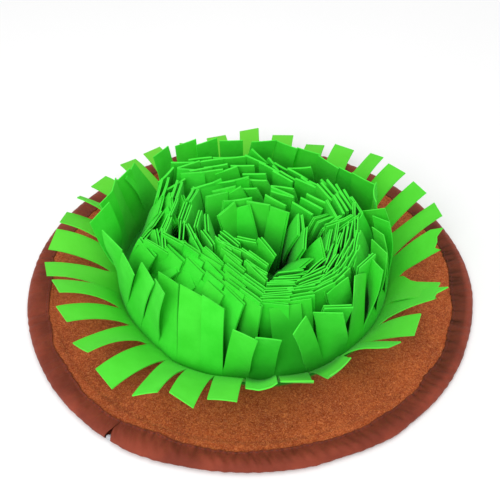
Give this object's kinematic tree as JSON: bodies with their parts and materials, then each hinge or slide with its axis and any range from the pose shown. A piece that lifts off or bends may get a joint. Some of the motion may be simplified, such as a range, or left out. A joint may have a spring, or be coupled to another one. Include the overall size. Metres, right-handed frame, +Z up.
{
  "type": "snuffle mat",
  "caption": "Round drawstring snuffle mat: a flat felt disc with a bound rim and rows of upright fringed felt strips that hide dry treats.",
  "frame": {"origin": "middle of the underside, on the ground", "axes": "+Z up out of the mat; +X to the right and +Y away for a viewer who sees the rim's notch at the front left"},
  "size_m": [0.4399, 0.4398, 0.0816],
  "materials": {
    "base_felt": "rust-brown needle felt, matt and slightly fuzzy",
    "nylon": "maroon-brown woven nylon, faint sheen",
    "grip_cloth": "blue-grey non-slip cloth, matt",
    "cord": "pale grey braided cord",
    "strip_felt": "bright green smooth felt, matt"
  },
  "bodies": {
    "root": {"drawstring": "cord", "felt_sheet": "base_felt", "grip_patch": "grip_cloth", "nylon_sheet": "nylon", "rim_binding": "nylon", "strip_lying_1": "strip_felt", "strip_lying_2": "strip_felt", "strip_lying_3": "strip_felt", "strip_lying_4": "strip_felt", "strip_lying_5": "strip_felt", "strip_lying_6": "strip_felt", "strip_lying_7": "strip_felt", "strip_lying_8": "strip_felt", "strip_row01_1": "strip_felt", "strip_row01_2": "strip_felt", "strip_row01_3": "strip_felt", "strip_row01_4": "strip_felt", "strip_row02_1": "strip_felt", "strip_row02_2": "strip_felt", "strip_row02_3": "strip_felt", "strip_row02_4": "strip_felt", "strip_row03_1": "strip_felt", "strip_row03_2": "strip_felt", "strip_row03_3": "strip_felt", "strip_row04_1": "strip_felt", "strip_row04_2": "strip_felt", "strip_row04_3": "strip_felt", "strip_row05_1": "strip_felt", "strip_row05_2": "strip_felt", "strip_row05_3": "strip_felt", "strip_row06_1": "strip_felt", "strip_row06_2": "strip_felt", "strip_row06_3": "strip_felt", "strip_row07_1": "strip_felt", "strip_row07_2": "strip_felt", "strip_row07_3": "strip_felt", "strip_row08_1": "strip_felt", "strip_row08_2": "strip_felt", "strip_row08_3": "strip_felt", "strip_row09_1": "strip_felt", "strip_row09_2": "strip_felt", "strip_row09_3": "strip_felt", "strip_row10_1": "strip_felt", "strip_standing_1": "strip_felt", "strip_standing_2": "strip_felt", "strip_standing_3": "strip_felt", "strip_standing_4": "strip_felt", "strip_standing_5": "strip_felt", "strip_standing_6": "strip_felt", "strip_standing_7": "strip_felt", "strip_standing_8": "strip_felt"}
  },
  "joints": []
}
